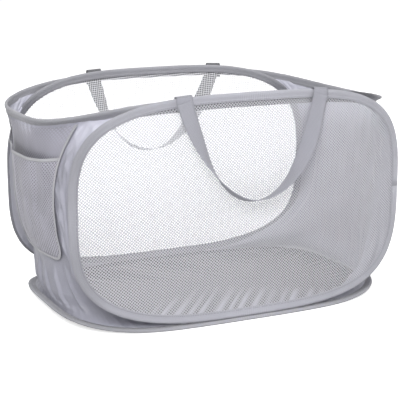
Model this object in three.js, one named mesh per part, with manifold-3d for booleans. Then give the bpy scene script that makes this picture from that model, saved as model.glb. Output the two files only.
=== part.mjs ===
// A pop up laundry hamper. Four loops of spring wire, each sewn into a folded tape, make the
// front panel, the rear panel, the mouth and the base. Cloth ends are stretched between them.
// Millimetres, +Z up. X runs along the hamper, -X is the end with the pocket, -Y is the front.
// The origin is on the floor under the middle of the hamper.
import * as THREE from "three";
import { mergeGeometries, mergeVertices } from "three/addons/utils/BufferGeometryUtils.js";
import Module from "manifold-3d";

const wasm = await Module();
wasm.setup();

// Front and rear panels
const panelLength = 572; // along X, over the bound edge
const panelTop = 355; // height of the upper bound edge
const panelSpacing = 366; // between the middle planes of the two panels
const panelSquareness = 3.3; // exponent of the rounded outline
const panelBow = 31; // how far the cloth ends draw each end of a panel inwards
const bowPower = 3;

// Mouth ring
const ringOverhang = 19; // how far the ring passes the end of a panel
const ringBelow = 6; // upper edge of the ring under the upper edge of the panels
const ringDrop = 33; // how far the cloth ends draw each end of the ring down
const ringFrontSquareness = 3.1;
const ringRearSquareness = 4.2;

// Base
const baseSetback = 6; // how far the base stops short of the end of a panel
const baseProud = 5; // how far the base stands out past the panels
const baseSquareness = 3.6;
const baseLift = 12; // how far each end of the base stands off the floor
const baseFlatShare = 0.5; // share of the base that lies flat

// Folded tape, the wire in it and the sleeve that joins the ends of the wire
const tapeWidth = 14;
const beadHalf = 2.75; // half the thickness of the tape over the wire
const flangeHalf = 1.4; // half the thickness of the tape where it grips the cloth
const tapeWall = 0.6;
const noseHalf = 1.4; // half the thickness at the outer edge of the fold
const beadAt = 2.6; // from the outer edge of the fold to its thickest place
const flangeAt = 7.2; // from the outer edge of the fold to the start of the grip
const wireRadius = 1;
const wireAt = 3.2; // from the outer edge of the fold to the middle of the wire
const wireEndGap = 1; // between the two ends of a wire
const sleeveLength = 24;
const sleeveWall = 0.4;
const fitGap = 0.3; // between pieces that are sewn or slid together
const looseGap = 0.5; // between layers of cloth

// Net and cloth
const netThickness = 0.6;
const netPitch = 52; // from one gap of the net to the next
const netStrand = 5;
const netSpan = 34; // longest straight stretch of the bent net
const netInset = 8.5; // from the outer edge of the tape to the edge of the net
const clothThickness = 0.8;
const seamInset = 4; // from the outer edge of the tape to the seam of a cloth end
const baseSeamInset = 6;

// Where the loops part at the four corners of an end, from the middle of the hamper
const partFrontBottom = 150;
const partRearBottom = 150;
const partFrontTop = 196;
const partRearTop = 262;

// Pocket on the left end, in columns and rows of the cloth end's grid
const gridColumns = 16;
const gridRows = 15;
const pocketColumns = [4, 12];
const pocketBottomRow = 4;
const mouthRow = 12;
const pouchBulge = 15; // how far the pouch stands off its back
const mouthSag = 7; // how far the middle of the pocket's mouth hangs down
const hemHeight = 7;
const hemThickness = 0.9;
const trimThickness = 0.9;
const trimWidthShare = 0.28; // share of a grid column that the trim covers

// Handles
const handleHalfSpacing = 115; // from the middle of the hamper to the middle of a strap end
const handleDrop = 165;
const handleCatenary = 56; // the strap's weight draws it into this catenary
const strapWidth = 25;
const strapThickness = 1.2;
const strapTwistDegrees = 72; // the turn of the strap at its lowest point
const tabThickness = 0.9;
const tabLength = 18;
const hingeBelow = 7; // strap end under the upper edge that its tab hangs over

// Counts
const loopStations = 40;
const wireSides = 6;
const sleeveSides = 10;
const strapSteps = 30;
const relaxSteps = 500;

// Sizes worked out from those above
const halfPanel = panelLength / 2;
const halfSpacing = panelSpacing / 2;
const baseThickness = 2 * beadHalf;
const panelBottom = baseThickness;
const panelMiddle = (panelTop + panelBottom) / 2;
const halfHeight = (panelTop - panelBottom) / 2;
const tabRoom = tabThickness + looseGap + 3 * fitGap; // between a panel's tape and the ring's tape
const ringFront = -halfSpacing + 2 * beadHalf + tabRoom;
const ringRear = halfSpacing + 2 * beadHalf + tabRoom;
const ringMiddle = (ringFront + ringRear) / 2;
const ringHalfDepth = (ringRear - ringFront) / 2;
const ringHalfLength = halfPanel + ringOverhang - beadHalf;
const ringTop = panelTop - ringBelow;
const baseHalfLength = halfPanel - baseSetback;
const baseHalfDepth = halfSpacing + beadHalf + baseProud;

const finishes = {
  tape: new THREE.MeshStandardMaterial({ color: 0xabacb6, roughness: 0.85, metalness: 0 }),
  net: new THREE.MeshStandardMaterial({ color: 0xd4d5dc, roughness: 0.8, metalness: 0 }),
  cloth: new THREE.MeshStandardMaterial({ color: 0xb3b4bb, roughness: 0.6, metalness: 0 }),
  strap: new THREE.MeshStandardMaterial({ color: 0xa4a5ad, roughness: 0.9, metalness: 0 }),
  wire: new THREE.MeshStandardMaterial({ color: 0x8d9094, roughness: 0.35, metalness: 1 }),
};

const hamper = new THREE.Group();
hamper.name = "pop_up_laundry_hamper";

function add(name, geometry, material) {
  geometry.computeVertexNormals();
  const piece = new THREE.Mesh(geometry, material);
  piece.name = name;
  hamper.add(piece);
}

// Outlines: a rounded rectangle with half sizes a and b, and a point on it at a turn. The point
// may be moved in from the edge along the edge's own normal.
function outlinePoint(a, b, squareness, turn, inset) {
  const c = Math.cos(turn);
  const s = Math.sin(turn);
  const x = a * Math.sign(c) * Math.abs(c) ** (2 / squareness);
  const y = b * Math.sign(s) * Math.abs(s) ** (2 / squareness);
  const normal = new THREE.Vector2(
    (Math.sign(x) * Math.abs(x / a) ** (squareness - 1)) / a,
    (Math.sign(y) * Math.abs(y / b) ** (squareness - 1)) / b,
  ).normalize();
  return new THREE.Vector2(x - normal.x * inset, y - normal.y * inset);
}

// The turn at which an outline reaches a given length from its middle.
function turnAt(a, squareness, length) {
  return Math.acos(Math.min(1, length / a) ** (squareness / 2));
}

// The four loops. Each gives a point at a turn, moved in across the tape and out through it.
function panelSurface(side, x, z, through) {
  const drawn = panelBow * Math.abs(x / halfPanel) ** bowPower;
  return new THREE.Vector3(x, side * (halfSpacing - drawn) + through, z);
}

function panelPoint(side) {
  return (turn, inset, through) => {
    const p = outlinePoint(halfPanel, halfHeight, panelSquareness, turn, inset);
    return panelSurface(side, p.x, panelMiddle + p.y, through);
  };
}

function ringPoint(turn, down, out) {
  const squareness = Math.sin(turn) < 0 ? ringFrontSquareness : ringRearSquareness;
  const p = outlinePoint(ringHalfLength, ringHalfDepth, squareness, turn, -out);
  const drop = ringDrop * Math.min(1, Math.abs(p.x / ringHalfLength)) ** bowPower;
  return new THREE.Vector3(p.x, ringMiddle + p.y, ringTop - drop - down);
}

function baseHeight(x) {
  const raised = Math.abs(x / baseHalfLength) - baseFlatShare;
  return baseLift * (Math.max(0, raised) / (1 - baseFlatShare)) ** 2;
}

function basePoint(turn, inset, up) {
  const p = outlinePoint(baseHalfLength, baseHalfDepth, baseSquareness, turn, inset);
  return new THREE.Vector3(p.x, p.y, baseHeight(p.x) + beadHalf + up);
}

// Solids from lists of points. A ring of sections closes on itself or has two flat ends.
function solidFrom(points, faces) {
  const geometry = new THREE.BufferGeometry();
  const flat = points.flatMap((p) => [p.x, p.y, p.z]);
  geometry.setAttribute("position", new THREE.Float32BufferAttribute(flat, 3));
  geometry.setIndex(faces.flat());
  return turnedOut(geometry);
}

// Faces are turned round where they enclose a negative volume.
function turnedOut(geometry) {
  const position = geometry.getAttribute("position");
  const index = Array.from(geometry.index.array);
  const corner = [new THREE.Vector3(), new THREE.Vector3(), new THREE.Vector3()];
  let volume = 0;
  for (let i = 0; i < index.length; i += 3) {
    corner.forEach((v, k) => v.fromBufferAttribute(position, index[i + k]));
    volume += corner[0].dot(corner[1].cross(corner[2]));
  }
  if (volume < 0) index.reverse();
  geometry.setIndex(index);
  return geometry;
}

function sweptSolid(sections, closed) {
  const sides = sections[0].length;
  const count = sections.length;
  const faces = [];
  const spans = closed ? count : count - 1;
  for (let i = 0; i < spans; i++) {
    for (let j = 0; j < sides; j++) {
      const a = i * sides + j;
      const b = i * sides + ((j + 1) % sides);
      const c = ((i + 1) % count) * sides + ((j + 1) % sides);
      const d = ((i + 1) % count) * sides + j;
      faces.push([a, b, c], [a, c, d]);
    }
  }
  if (!closed) {
    const last = (count - 1) * sides;
    for (let j = 1; j < sides - 1; j++) {
      faces.push([0, j + 1, j], [last, last + j, last + j + 1]);
    }
  }
  return solidFrom(sections.flat(), faces);
}

// A sheet of even thickness over rows of points.
function sheetSolid(rows, thickness) {
  const height = rows.length;
  const width = rows[0].length;
  const layers = [[], []];
  for (let i = 0; i < height; i++) {
    for (let j = 0; j < width; j++) {
      const half = sheetNormal(rows, i, j).multiplyScalar(thickness / 2);
      layers[0].push(rows[i][j].clone().add(half));
      layers[1].push(rows[i][j].clone().sub(half));
    }
  }
  const under = height * width;
  const faces = [];
  for (let i = 0; i < height - 1; i++) {
    for (let j = 0; j < width - 1; j++) {
      const a = i * width + j;
      const [b, c, d] = [a + 1, a + width + 1, a + width];
      faces.push([a, b, c], [a, c, d]);
      faces.push([under + a, under + c, under + b], [under + a, under + d, under + c]);
    }
  }
  const rim = [];
  for (let j = 0; j < width - 1; j++) rim.push(j);
  for (let i = 0; i < height - 1; i++) rim.push(i * width + width - 1);
  for (let j = width - 1; j > 0; j--) rim.push((height - 1) * width + j);
  for (let i = height - 1; i > 0; i--) rim.push(i * width);
  rim.forEach((a, k) => {
    const b = rim[(k + 1) % rim.length];
    faces.push([a, under + a, under + b], [a, under + b, b]);
  });
  return solidFrom(layers.flat(), faces);
}

function sheetNormal(rows, i, j) {
  const up = rows[Math.min(i + 1, rows.length - 1)][j].clone();
  up.sub(rows[Math.max(i - 1, 0)][j]);
  const across = rows[i][Math.min(j + 1, rows[i].length - 1)].clone();
  across.sub(rows[i][Math.max(j - 1, 0)]);
  return across.cross(up).normalize();
}

// A folded tape: outside of the fold, then back along its inside. The wire lies in the bead and
// the mouth of the fold faces the cloth.
const tapeOutside = [
  [tapeWidth, flangeHalf],
  [flangeAt, flangeHalf],
  [beadAt, beadHalf],
  [0, noseHalf],
];
const tapeInside = [
  [tapeWall, noseHalf - tapeWall / 2],
  [beadAt, beadHalf - tapeWall],
  [flangeAt, flangeHalf - tapeWall],
  [tapeWidth, flangeHalf - tapeWall],
];
const mirrored = (list) => list.map(([across, through]) => [across, -through]).reverse();
const tapeSection = [
  ...tapeOutside,
  ...mirrored(tapeOutside),
  ...mirrored(tapeInside),
  ...tapeInside,
];

const quarter = Math.PI / 2;
const loopTurns = Array.from({ length: loopStations }, (_, k) => (k / loopStations) * 4 * quarter);

function boundTape(pointAt) {
  return sweptSolid(
    loopTurns.map((turn) => tapeSection.map(([across, through]) => pointAt(turn, across, through))),
    true,
  );
}

// A wire runs once round its loop from one side of its joint to the other.
function springWire(pointAt, jointTurn) {
  const joint = pointAt(jointTurn, wireAt, 0);
  const step = (4 * quarter) / loopStations;
  const along = pointAt(jointTurn + step, wireAt, 0).sub(joint);
  const endShare = wireEndGap / 2 / along.length();
  const centres = [joint.clone().addScaledVector(along, endShare)];
  const acrosses = [pointAt(jointTurn, beadAt + wireAt, 0).sub(pointAt(jointTurn, beadAt, 0))];
  for (let k = 1; k < loopStations; k++) {
    const turn = jointTurn + k * step;
    centres.push(pointAt(turn, wireAt, 0));
    acrosses.push(pointAt(turn, beadAt + wireAt, 0).sub(pointAt(turn, beadAt, 0)));
  }
  const back = centres[centres.length - 1].clone().sub(joint);
  centres.push(joint.clone().addScaledVector(back, wireEndGap / 2 / back.length()));
  acrosses.push(acrosses[0]);
  return tube(centres, acrosses, wireRadius, wireSides);
}

function circle(centre, tangent, across, radius, sides) {
  const v = across.clone().addScaledVector(tangent, -across.dot(tangent)).normalize();
  const w = tangent.clone().cross(v);
  return Array.from({ length: sides }, (_, k) => {
    const turn = (k / sides) * 4 * quarter;
    return centre
      .clone()
      .addScaledVector(v, radius * Math.cos(turn))
      .addScaledVector(w, radius * Math.sin(turn));
  });
}

function tube(centres, acrosses, radius, sides) {
  const sections = centres.map((centre, k) => {
    const next = centres[Math.min(k + 1, centres.length - 1)];
    const before = centres[Math.max(k - 1, 0)];
    const tangent = next.clone().sub(before).normalize();
    return circle(centre, tangent, acrosses[k], radius, sides);
  });
  return sweptSolid(sections, false);
}

// The sleeve is a short tube round the joint of a wire: outside there, then back along its bore.
function joiningSleeve(pointAt, jointTurn) {
  const centre = pointAt(jointTurn, wireAt, 0);
  const across = pointAt(jointTurn, beadAt + wireAt, 0).sub(pointAt(jointTurn, beadAt, 0));
  const tangent = new THREE.Vector3(1, 0, 0);
  const bore = wireRadius + fitGap;
  const ends = [-sleeveLength / 2, sleeveLength / 2];
  const placed = ends.map((shift) => centre.clone().addScaledVector(tangent, shift));
  const sections = [
    circle(placed[0], tangent, across, bore + sleeveWall, sleeveSides),
    circle(placed[1], tangent, across, bore + sleeveWall, sleeveSides),
    circle(placed[1], tangent, across, bore, sleeveSides),
    circle(placed[0], tangent, across, bore, sleeveSides),
  ];
  return sweptSolid(sections, true);
}

const loops = [
  { name: "front", pointAt: panelPoint(-1), joint: 3 * quarter },
  { name: "rear", pointAt: panelPoint(1), joint: 3 * quarter },
  { name: "mouth", pointAt: ringPoint, joint: quarter },
  { name: "base", pointAt: basePoint, joint: quarter },
];
for (const { name, pointAt, joint } of loops) {
  add(name + "_binding_tape", boundTape(pointAt), finishes.tape);
  add(name + "_spring_wire", springWire(pointAt, joint), finishes.wire);
  add(name + "_wire_sleeve", joiningSleeve(pointAt, joint), finishes.wire);
}

// Net panels: a flat sheet with diamond gaps, bent to the panel's bow.
function netOutline() {
  return loopTurns.map((turn) => {
    return outlinePoint(halfPanel, halfHeight, panelSquareness, turn, netInset);
  });
}

function insideNet(x, z) {
  const a = halfPanel - tapeWidth - netStrand;
  const b = halfHeight - tapeWidth - netStrand;
  return Math.abs(x / a) ** panelSquareness + Math.abs(z / b) ** panelSquareness < 1;
}

function bodyOf(geometry) {
  const bare = new THREE.BufferGeometry();
  bare.setAttribute("position", geometry.getAttribute("position").clone());
  if (geometry.index) bare.setIndex(geometry.index.clone());
  const merged = mergeVertices(bare);
  const vertProperties = new Float32Array(merged.getAttribute("position").array);
  const triVerts = new Uint32Array(merged.index.array);
  return new wasm.Manifold(new wasm.Mesh({ numProp: 3, vertProperties, triVerts }));
}

function geometryOf(body) {
  const mesh = body.getMesh();
  const geometry = new THREE.BufferGeometry();
  geometry.setAttribute("position", new THREE.Float32BufferAttribute(mesh.vertProperties, 3));
  geometry.setIndex(Array.from(mesh.triVerts));
  return geometry;
}

function netGaps() {
  const reach = netPitch / 2 - netStrand / Math.SQRT2;
  const half = netPitch / 2;
  const columns = Math.ceil(halfPanel / half);
  const rows = Math.ceil(halfHeight / half);
  const gaps = [];
  for (let i = -columns; i <= columns; i++) {
    for (let j = -rows; j <= rows; j++) {
      const [x, z] = [i * half, j * half];
      const corners = [insideNet(x + reach, z), insideNet(x - reach, z)];
      corners.push(insideNet(x, z + reach), insideNet(x, z - reach));
      if ((i + j) % 2 !== 0 || corners.includes(false)) continue;
      const gap = new THREE.CylinderGeometry(reach, reach, netThickness * 2, 4);
      gap.rotateX(quarter);
      gap.translate(x, z, netThickness / 2);
      gaps.push(gap);
    }
  }
  return mergeGeometries(gaps);
}

function netPanel(side) {
  const options = { depth: netThickness, bevelEnabled: false };
  const sheet = bodyOf(new THREE.ExtrudeGeometry(new THREE.Shape(netOutline()), options));
  const cut = sheet.subtract(bodyOf(netGaps())).refineToLength(netSpan);
  const bent = geometryOf(cut);
  const position = bent.getAttribute("position");
  for (let k = 0; k < position.count; k++) {
    const through = netThickness / 2 - position.getZ(k);
    const height = panelMiddle + position.getY(k);
    const point = panelSurface(side, position.getX(k), height, through);
    position.setXYZ(k, point.x, point.y, point.z);
  }
  return turnedOut(bent);
}
add("front_net_panel", netPanel(-1), finishes.net);
add("rear_net_panel", netPanel(1), finishes.net);

// The base cloth is gripped by its tape and lies on the floor inside it.
function baseCloth() {
  const grip = [tapeWidth - flangeHalf, tapeWidth + 2 * fitGap, tapeWidth + tapeWidth / 2];
  const sunk = clothThickness / 2 - beadHalf;
  const rings = [
    loopTurns.map((turn) => basePoint(turn, grip[0], 0)),
    loopTurns.map((turn) => basePoint(turn, grip[1], 0)),
    loopTurns.map((turn) => basePoint(turn, grip[2], sunk)),
  ];
  const innerShares = [0.83, 0.66, 0.3];
  for (const share of innerShares) {
    rings.push(
      rings[2].map((p) => {
        const x = p.x * share;
        return new THREE.Vector3(x, p.y * share, baseHeight(x) + clothThickness / 2);
      }),
    );
  }
  const half = clothThickness / 2;
  const shift = (list, up) => list.map((p) => new THREE.Vector3(p.x, p.y, p.z + up));
  const sections = [...rings.map((ring) => shift(ring, half)).reverse()];
  sections.push(...rings.map((ring) => shift(ring, -half)));
  const sides = loopStations;
  const solid = [];
  for (let i = 0; i < sections.length - 1; i++) {
    for (let j = 0; j < sides; j++) {
      const a = i * sides + j;
      const b = i * sides + ((j + 1) % sides);
      solid.push([a, b, b + sides], [a, b + sides, a + sides]);
    }
  }
  const points = sections.flat();
  const middles = [new THREE.Vector3(0, 0, clothThickness), new THREE.Vector3(0, 0, 0)];
  points.push(...middles);
  const last = (sections.length - 1) * sides;
  for (let j = 0; j < sides; j++) {
    const next = (j + 1) % sides;
    solid.push([points.length - 2, next, j]);
    solid.push([points.length - 1, last + j, last + next]);
  }
  return solidFrom(points, solid);
}
add("base_panel", baseCloth(), finishes.cloth);

// A cloth end is bounded by the four loops. Its inner points settle between their neighbours,
// as stretched cloth does.
function evenly(points, count) {
  const lengths = [0];
  points.slice(1).forEach((p, k) => lengths.push(lengths[k] + p.distanceTo(points[k])));
  const total = lengths[lengths.length - 1];
  return Array.from({ length: count + 1 }, (_, k) => {
    const at = (k / count) * total;
    const i = Math.min(Math.max(lengths.findIndex((l) => l >= at), 1), points.length - 1);
    const share = (at - lengths[i - 1]) / (lengths[i] - lengths[i - 1]);
    return points[i - 1].clone().lerp(points[i], share);
  });
}

function arc(pointAt, from, to) {
  const steps = 60;
  return Array.from({ length: steps + 1 }, (_, k) => pointAt(from + ((to - from) * k) / steps));
}

function endEdges() {
  const off = beadHalf + looseGap + clothThickness;
  const panelTurn = (length) => turnAt(halfPanel, panelSquareness, length);
  const ringTurn = (length, squareness) => turnAt(ringHalfLength, squareness, length);
  const baseTurn = (length) => turnAt(baseHalfLength, baseSquareness, length);
  const half = 2 * quarter;
  const below = tapeWidth + fitGap;
  const up = flangeHalf + fitGap + clothThickness / 2;
  const front = arc(
    (turn) => panelPoint(-1)(turn, seamInset, off),
    half + panelTurn(partFrontBottom),
    half - panelTurn(partFrontTop),
  );
  const rear = arc(
    (turn) => panelPoint(1)(turn, seamInset, -off),
    half + panelTurn(partRearBottom),
    half - panelTurn(partRearTop),
  );
  const ring = arc(
    (turn) => ringPoint(turn, below, 0),
    half + ringTurn(partFrontTop, ringFrontSquareness),
    half - ringTurn(partRearTop, ringRearSquareness),
  );
  const base = arc(
    (turn) => basePoint(turn, baseSeamInset, up),
    half + baseTurn(partFrontBottom),
    half - baseTurn(partRearBottom),
  );
  return { front, rear, ring, base };
}

// Each pair of edges meets half way between their ends, and both ease into that corner.
function joined(edges) {
  const { front, rear, ring, base } = edges;
  const middle = (p, q) => p.clone().lerp(q, 1 / 2);
  const corners = {
    frontBottom: middle(front[0], base[0]),
    frontTop: middle(front[front.length - 1], ring[0]).setZ(ring[0].z),
    rearBottom: middle(rear[0], base[base.length - 1]),
    rearTop: middle(rear[rear.length - 1], ring[ring.length - 1]),
  };
  const ease = (list, first, last) => {
    const starts = first.clone().sub(list[0]);
    const ends = last.clone().sub(list[list.length - 1]);
    return list.map((p, k) => {
      const share = k / (list.length - 1);
      return p
        .clone()
        .addScaledVector(starts, Math.max(0, 1 - share * 8))
        .addScaledVector(ends, Math.max(0, 1 - (1 - share) * 8));
    });
  };
  return {
    front: ease(front, corners.frontBottom, corners.frontTop),
    rear: ease(rear, corners.rearBottom, corners.rearTop),
    ring: ease(ring, corners.frontTop, corners.rearTop),
    base: ease(base, corners.frontBottom, corners.rearBottom),
  };
}

function endGrid() {
  const edges = joined(endEdges());
  const front = evenly(edges.front, gridRows);
  const rear = evenly(edges.rear, gridRows);
  const ring = evenly(edges.ring, gridColumns);
  const base = evenly(edges.base, gridColumns);
  const rows = front.map((p, i) =>
    base.map((q, j) => {
      if (i === 0) return base[j].clone();
      if (i === gridRows) return ring[j].clone();
      return p.clone().lerp(rear[i], j / gridColumns);
    }),
  );
  for (let step = 0; step < relaxSteps; step++) {
    for (let i = 1; i < gridRows; i++) {
      for (let j = 1; j < gridColumns; j++) {
        const mean = rows[i - 1][j].clone().add(rows[i + 1][j]);
        mean.add(rows[i][j - 1]).add(rows[i][j + 1]);
        rows[i][j].copy(mean.divideScalar(4));
      }
    }
  }
  return rows;
}

const leftEnd = endGrid();
const rightEnd = leftEnd.map((row) => row.map((p) => new THREE.Vector3(-p.x, p.y, p.z)));
add("left_end_panel", sheetSolid(leftEnd, clothThickness), finishes.cloth);
add("right_end_panel", sheetSolid(rightEnd, clothThickness), finishes.cloth);

// Pocket layers lie on the left end, each a gap outside the one under it.
function leftOut(i, j, out) {
  const [low, left] = [Math.floor(i), Math.floor(j)];
  const [high, right] = [Math.min(low + 1, gridRows), Math.min(left + 1, gridColumns)];
  const lower = leftEnd[low][left].clone().lerp(leftEnd[low][right], j - left);
  const upper = leftEnd[high][left].clone().lerp(leftEnd[high][right], j - left);
  const point = lower.lerp(upper, i - low);
  const normal = sheetNormal(leftEnd, Math.round(i), Math.round(j));
  return point.addScaledVector(normal, normal.x < 0 ? out : -out);
}

function span(from, to) {
  return Array.from({ length: to - from + 1 }, (_, k) => from + k);
}

const layerStep = clothThickness + looseGap;
const pocketSpan = span(pocketColumns[0], pocketColumns[1]);
const backRows = span(pocketBottomRow, gridRows);
const pouchRows = span(pocketBottomRow, mouthRow);

function pouchPoint(i, j, out) {
  const across = (j - pocketColumns[0]) / (pocketColumns[1] - pocketColumns[0]);
  const up = (i - pocketBottomRow) / (mouthRow - pocketBottomRow);
  const crown = Math.sin(across * 2 * quarter) * Math.sin(Math.min(1, up * 1.25) * quarter);
  const point = leftOut(i, j, out + pouchBulge * crown);
  point.z -= mouthSag * up * Math.sin(across * 2 * quarter);
  return point;
}

const backGrid = backRows.map((i) => pocketSpan.map((j) => leftOut(i, j, layerStep)));
add("pocket_back", sheetSolid(backGrid, clothThickness), finishes.net);
const pouchGrid = pouchRows.map((i) => pocketSpan.map((j) => pouchPoint(i, j, 2 * layerStep)));
add("pocket_pouch", sheetSolid(pouchGrid, clothThickness), finishes.net);

const hemGap = fitGap + clothThickness / 2;
const mouthLine = pocketSpan.map((j) => pouchPoint(mouthRow, j, 3 * layerStep));
const hemGrid = [hemGap, hemGap + hemHeight].map((up) =>
  mouthLine.map((p) => new THREE.Vector3(p.x, p.y, p.z + up)),
);
add("pocket_mouth_hem", sheetSolid(hemGrid, hemThickness), finishes.tape);

// The trim covers the pocket's raw edge: down one side, along the bottom and up the other side.
function trimGrid() {
  const [first, last] = pocketColumns;
  const out = 3 * layerStep;
  const edge = [];
  for (const i of [...pouchRows].reverse()) edge.push([i, first, 0, 1]);
  for (const j of span(first + 1, last - 1)) edge.push([pocketBottomRow, j, 1, 0]);
  for (const i of pouchRows) edge.push([i, last, 0, -1]);
  const outer = edge.map(([i, j]) => pouchPoint(i, j, out));
  const inner = edge.map(([i, j, rowStep, columnStep], k) => {
    const raised = i === pocketBottomRow ? 1 : rowStep;
    const toward = pouchPoint(i + raised, j + columnStep, out);
    return outer[k].clone().lerp(toward, trimWidthShare);
  });
  return [outer, inner];
}
add("pocket_edge_trim", sheetSolid(trimGrid(), trimThickness), finishes.tape);

// A handle is one strap that hangs in a catenary. Its ends lie flat against the hamper and its
// lowest part turns on edge. The tabs are the folds of the strap over the bound edge.
function handleStrap(side, faceAt, topAt) {
  const flatness = strapThickness / 2 + fitGap;
  const rows = [];
  const lowest = Math.cosh(handleHalfSpacing / handleCatenary) - 1;
  const stretch = handleDrop / (handleCatenary * lowest);
  for (let k = 0; k <= strapSteps; k++) {
    const share = (2 * k) / strapSteps - 1;
    const x = handleCatenary * Math.asinh(share * Math.sinh(handleHalfSpacing / handleCatenary));
    const z = topAt - handleDrop + stretch * handleCatenary * (Math.cosh(x / handleCatenary) - 1);
    const slope = stretch * Math.sinh(x / handleCatenary);
    const across = new THREE.Vector3(-slope, 0, 1).normalize();
    if (across.x * share > 0) across.negate();
    const turn = THREE.MathUtils.degToRad(strapTwistDegrees) * (1 - Math.abs(share) ** 2) ** 2;
    const away = side * (faceAt + flatness + (strapWidth / 2) * Math.sin(turn));
    const centre = new THREE.Vector3(x, away, z);
    const width = new THREE.Vector3(0, side * Math.sin(turn), 0);
    width.addScaledVector(across, Math.cos(turn)).multiplyScalar(strapWidth / 2);
    rows.push([centre.clone().sub(width), centre.clone(), centre.clone().add(width)]);
  }
  return sheetSolid(rows, strapThickness);
}

function handleTab(pointAt, turn) {
  const inner = beadHalf + looseGap;
  const outer = inner + tabThickness;
  const [under, over] = [fitGap, fitGap + tabThickness];
  const outline = [
    [-outer, -tabLength],
    [-inner, -tabLength],
    [-inner, under],
    [inner, under],
    [inner, -tabLength],
    [outer, -tabLength],
    [outer, over],
    [-outer, over],
  ].map(([through, up]) => new THREE.Vector2(through, up));
  const fold = new THREE.ExtrudeGeometry(new THREE.Shape(outline), {
    depth: strapWidth,
    bevelEnabled: false,
  });
  fold.translate(0, 0, -strapWidth / 2);
  const edge = pointAt(turn, 0, 0);
  const up = edge.clone().sub(pointAt(turn, beadAt, 0)).normalize();
  const reach = strapWidth / ringHalfLength / 2;
  const along = pointAt(turn - reach, 0, 0).sub(pointAt(turn + reach, 0, 0)).normalize();
  const through = up.clone().cross(along).normalize();
  fold.applyMatrix4(new THREE.Matrix4().makeBasis(through, up, through.clone().cross(up)));
  return fold.translate(edge.x, edge.y, edge.z);
}

const tabReach = beadHalf + looseGap + tabThickness;
const handles = [
  { name: "front", side: -1, pointAt: panelPoint(-1), length: halfPanel },
  { name: "rear", side: 1, pointAt: ringPoint, length: ringHalfLength },
];
for (const { name, side, pointAt, length } of handles) {
  const squareness = side < 0 ? panelSquareness : ringRearSquareness;
  const turn = turnAt(length, squareness, handleHalfSpacing);
  const inner = turnAt(length, squareness, handleHalfSpacing - strapWidth / 2);
  const farthest = Math.abs(pointAt(inner, 0, 0).y) + tabReach;
  const top = pointAt(turn, hingeBelow, 0).z;
  add(name + "_handle_strap", handleStrap(side, farthest, top), finishes.strap);
  add(name + "_handle_left_tab", handleTab(pointAt, 2 * quarter - turn), finishes.strap);
  add(name + "_handle_right_tab", handleTab(pointAt, turn), finishes.strap);
}

export default hamper;
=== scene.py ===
# %% [markdown]
# # A pop up laundry hamper
# The hamper is four loops of spring wire, each sewn into a folded tape. Two loops stand up and
# hold the net panels, one is the mouth and one is the base. Cloth ends are stretched between
# them. The imported frame gives the bodies and joints; the tapes, panel nets, base cloth,
# handles and tabs below ride on a body, while the cloth ends and the pocket stay where they
# are made.

# %% Load the frame
import math
import bpy
import bmesh
from mathutils import Matrix, Vector, noise


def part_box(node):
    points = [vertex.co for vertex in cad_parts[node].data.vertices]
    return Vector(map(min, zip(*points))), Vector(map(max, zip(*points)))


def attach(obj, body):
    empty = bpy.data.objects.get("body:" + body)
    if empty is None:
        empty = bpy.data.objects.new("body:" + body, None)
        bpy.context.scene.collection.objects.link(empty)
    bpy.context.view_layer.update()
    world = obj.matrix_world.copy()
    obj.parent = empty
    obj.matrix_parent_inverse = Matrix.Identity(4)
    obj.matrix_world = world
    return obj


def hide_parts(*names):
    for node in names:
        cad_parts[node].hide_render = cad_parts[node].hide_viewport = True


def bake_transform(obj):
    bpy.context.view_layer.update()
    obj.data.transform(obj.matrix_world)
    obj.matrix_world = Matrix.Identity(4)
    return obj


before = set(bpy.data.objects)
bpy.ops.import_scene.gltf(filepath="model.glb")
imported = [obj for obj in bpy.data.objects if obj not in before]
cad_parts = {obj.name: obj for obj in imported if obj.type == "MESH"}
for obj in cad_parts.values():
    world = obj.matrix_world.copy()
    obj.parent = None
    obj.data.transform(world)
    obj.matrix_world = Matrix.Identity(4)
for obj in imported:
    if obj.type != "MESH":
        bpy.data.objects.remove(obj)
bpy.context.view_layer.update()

# %% [markdown]
# ## The four loops
# Each loop is a rounded rectangle that the cloth ends pull out of flat: the panels' ends are
# drawn inwards, the mouth's ends droop and the base's ends lift. One function for each loop
# gives a point at a turn, moved in across the tape and out through its thickness. A scan or
# traced curves could give the same loops, but four formulas keep them exact and easy to change.
# The mouth's tape leans inwards where the cloth ends pull on it, and it hangs a little wider
# along the front run, so that it shows below the front tape. All lengths are in metres.

# %% Sizes of the loops
MM = 0.001
PANEL_HALF = 286 * MM
PANEL_TOP = 355 * MM
PANEL_BOTTOM = 5.5 * MM
PANEL_Y = 183 * MM
PANEL_SQUARENESS = 3.3
PANEL_BOW = 31 * MM
RING_HALF = 302.25 * MM
RING_DEPTH = 183 * MM
RING_Y = 7.8 * MM
RING_TOP = 349 * MM
RING_DROP = 33 * MM
RING_SQUARENESS = {"front": 3.1, "rear": 4.2}
BASE_HALF = 280 * MM
BASE_DEPTH = 190.75 * MM
BASE_SQUARENESS = 3.6
BASE_LIFT = 12 * MM
BASE_FLAT_SHARE = 0.5
BOW_POWER = 3
BEAD_HALF = 2.75 * MM
WIRE_AT = 3.2 * MM
MOUTH_TILT = math.radians(52)
TILT_FROM, TILT_OVER = 0.17, 0.1
FRONT_RUN_WIDER = 0.32
FRONT_RUN_HALF, FRONT_RUN_FADE = 0.2, 0.07
PANEL_MIDDLE = (PANEL_TOP + PANEL_BOTTOM) / 2
PANEL_HEIGHT_HALF = (PANEL_TOP - PANEL_BOTTOM) / 2
print("panel height:", round(PANEL_TOP - PANEL_BOTTOM, 4), "m")

# %% [markdown]
# A rounded rectangle drawn by its angle has hardly any points in the middle of its sides.
# `even_turn` gives the turns that spread them evenly, for cloth that needs its points there.

# %% Points on the loops
def smooth(share):
    share = min(max(share, 0), 1)
    return share * share * (3 - 2 * share)


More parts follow.
